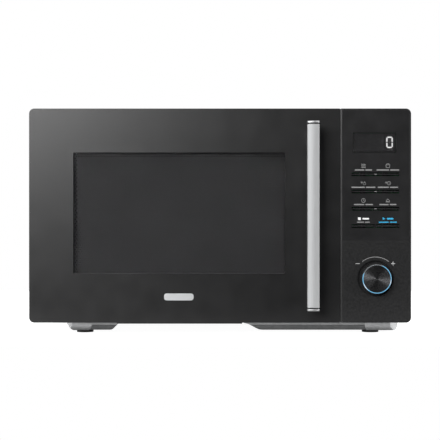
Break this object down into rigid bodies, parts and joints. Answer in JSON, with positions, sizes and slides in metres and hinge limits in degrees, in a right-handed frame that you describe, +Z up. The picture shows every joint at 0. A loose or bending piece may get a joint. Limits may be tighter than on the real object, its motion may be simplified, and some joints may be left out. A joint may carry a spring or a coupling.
{
  "type": "microwave oven",
  "caption": "Counter-top microwave oven: black gloss door hinged on the left with an upright bar handle, slim rocker keys, a clock window and a lit dial on the right.",
  "frame": {"origin": "on the table, under the middle of the whole box, handle and rear spacers included", "axes": "+X to the right seen from the front, +Y to the back, +Z up; the door faces -Y"},
  "size_m": [0.44, 0.386, 0.262],
  "materials": {
    "case_paint": "semi-gloss black powder paint",
    "zinc_sheet": "galvanised sheet",
    "enamel": "grey baked enamel",
    "foot_rubber": "matt black rubber",
    "dark_plastic": "fine-textured black plastic",
    "fastener_steel": "bright zinc plate",
    "bracket_steel": "plain plated steel",
    "door_gloss": "piano-black gloss",
    "window_glass": "smoked polished glass",
    "screen_paint": "black-painted perforated steel",
    "choke_paint": "black baked paint",
    "clear_film": "clear polished pane",
    "satin_silver": "satin",
    "handle_metal": "vertical brushing",
    "cap_chrome": "polished",
    "pale_plastic": "natural moulded plastic",
    "spring_steel": "bright spring wire",
    "panel_plastic": "fine-grained black plastic",
    "panel_film": "gloss overlay",
    "lens_gloss": "smoked lens",
    "display_face": "dark display face",
    "board_green": "green solder mask",
    "key_plastic": "satin black key",
    "knob_plastic": "black moulded plastic",
    "knob_metal": "turned dark metal",
    "blue_light": "lit translucent blue",
    "tray_glass": "clear pressed glass",
    "mica": "mica sheet",
    "magnetron_metal": "bare aluminium and steel",
    "core_steel": "varnished laminations",
    "copper_wire": "enamelled copper wire",
    "can_aluminium": "drawn can"
  },
  "bodies": {
    "root": {"outer_case": "case_paint", "rear_panel": "zinc_sheet", "base_plate": "zinc_sheet", "front_plate": "case_paint", "cavity_shell": "enamel", "feet": "foot_rubber", "rear_spacers": "dark_plastic", "case_screws": "fastener_steel", "cord_gland": "foot_rubber", "hinge_brackets": "bracket_steel", "hinge_pins": "fastener_steel", "control_housing": "panel_plastic", "control_film": "panel_film", "display_lens": "lens_gloss", "display_module": "display_face", "control_board": "board_green", "tact_switches": "dark_plastic", "encoder": "bracket_steel", "turntable_motor": "bracket_steel", "waveguide_cover": "mica", "magnetron": "magnetron_metal", "waveguide": "zinc_sheet", "transformer_core": "core_steel", "transformer_windings": "copper_wire", "capacitor": "can_aluminium", "fan_motor": "core_steel", "fan_duct": "pale_plastic", "interlock_bracket": "pale_plastic", "microswitches": "dark_plastic", "cavity_lamp": "pale_plastic"},
    "door": {"door_fascia": "door_gloss", "door_glass": "window_glass", "window_screen": "screen_paint", "choke_frame": "choke_paint", "choke_cover": "dark_plastic", "inner_pane": "clear_film", "badge": "satin_silver", "handle_bar": "handle_metal", "handle_caps": "cap_chrome", "handle_core": "dark_plastic", "handle_screws": "fastener_steel", "latch_spring": "spring_steel"},
    "latch": {"door_latch": "pale_plastic"},
    "knob": {"encoder_shaft": "fastener_steel", "knob_body": "knob_plastic", "knob_cap": "knob_metal", "knob_light_ring": "blue_light"},
    "rocker_1": {"rocker_key_1": "key_plastic"},
    "rocker_2": {"rocker_key_2": "key_plastic"},
    "rocker_3": {"rocker_key_3": "key_plastic"},
    "stop": {"stop_key": "key_plastic"},
    "start": {"start_key": "key_plastic"},
    "coupler": {"turntable_coupler": "pale_plastic", "turntable_shaft": "fastener_steel"},
    "tray": {"turntable_tray": "tray_glass"},
    "ring": {"roller_ring": "pale_plastic"},
    "roller_a": {"roller_1": "pale_plastic"},
    "roller_b": {"roller_2": "pale_plastic"},
    "roller_c": {"roller_3": "pale_plastic"},
    "fan": {"fan_blade": "pale_plastic"}
  },
  "joints": [
    {"name": "door_swing", "type": "hinge", "parent": "root", "child": "door", "pos_m": [-0.208, -0.143, 0.139], "axis": [0, 0, -1], "range_deg": [0, 110]},
    {"name": "latch_slide", "type": "slide", "parent": "door", "child": "latch", "axis": [0, 0, 1], "range_m": [0, 0.003], "stiffness_N_per_m": 300, "deforming": ["latch_spring"]},
    {"name": "knob_turn", "type": "hinge", "parent": "root", "child": "knob", "pos_m": [0.179, -0.16, 0.0663], "axis": [0, -1, 0], "continuous": true},
    {"name": "rocker_1_tilt", "type": "hinge", "parent": "root", "child": "rocker_1", "pos_m": [0.17895, -0.1486, 0.1863], "axis": [0, 0, 1], "range_deg": [-2, 2], "stiffness_Nm_per_rad": 1.1},
    {"name": "rocker_2_tilt", "type": "hinge", "parent": "root", "child": "rocker_2", "pos_m": [0.17895, -0.1486, 0.1664], "axis": [0, 0, 1], "range_deg": [-2, 2], "stiffness_Nm_per_rad": 1.1},
    {"name": "rocker_3_tilt", "type": "hinge", "parent": "root", "child": "rocker_3", "pos_m": [0.17895, -0.1486, 0.1465], "axis": [0, 0, 1], "range_deg": [-2, 2], "stiffness_Nm_per_rad": 1.1},
    {"name": "stop_press", "type": "slide", "parent": "root", "child": "stop", "axis": [0, 1, 0], "range_m": [0, 0.0012], "stiffness_N_per_m": 1500},
    {"name": "start_press", "type": "slide", "parent": "root", "child": "start", "axis": [0, 1, 0], "range_m": [0, 0.0012], "stiffness_N_per_m": 1500},
    {"name": "turntable_spin", "type": "hinge", "parent": "root", "child": "coupler", "pos_m": [-0.042, 0.0238, 0.04], "axis": [0, 0, 1], "continuous": true},
    {"name": "tray_lift", "type": "slide", "parent": "coupler", "child": "tray", "axis": [0, 0, 1], "range_m": [0, 0.03]},
    {"name": "ring_roll", "type": "hinge", "parent": "root", "child": "ring", "pos_m": [-0.042, 0.0238, 0.045], "axis": [0, 0, 1], "continuous": true},
    {"name": "roller_a_spin", "type": "hinge", "parent": "ring", "child": "roller_a", "pos_m": [-0.042, 0.1138, 0.045], "axis": [0, 1, 0], "continuous": true},
    {"name": "roller_b_spin", "type": "hinge", "parent": "ring", "child": "roller_b", "pos_m": [-0.11994, -0.0212, 0.045], "axis": [-0.866, -0.5, 0], "continuous": true},
    {"name": "roller_c_spin", "type": "hinge", "parent": "ring", "child": "roller_c", "pos_m": [0.03594, -0.0212, 0.045], "axis": [0.866, -0.5, 0], "continuous": true},
    {"name": "fan_spin", "type": "hinge", "parent": "root", "child": "fan", "pos_m": [0.165, 0.1765, 0.205], "axis": [0, 1, 0], "continuous": true}
  ],
  "couplings": [
    {"joint": "ring_roll", "follows": "turntable_spin", "ratio": 0.5},
    {"joint": "roller_a_spin", "follows": "turntable_spin", "ratio": -6.5217},
    {"joint": "roller_b_spin", "follows": "turntable_spin", "ratio": -6.5217},
    {"joint": "roller_c_spin", "follows": "turntable_spin", "ratio": -6.5217}
  ]
}
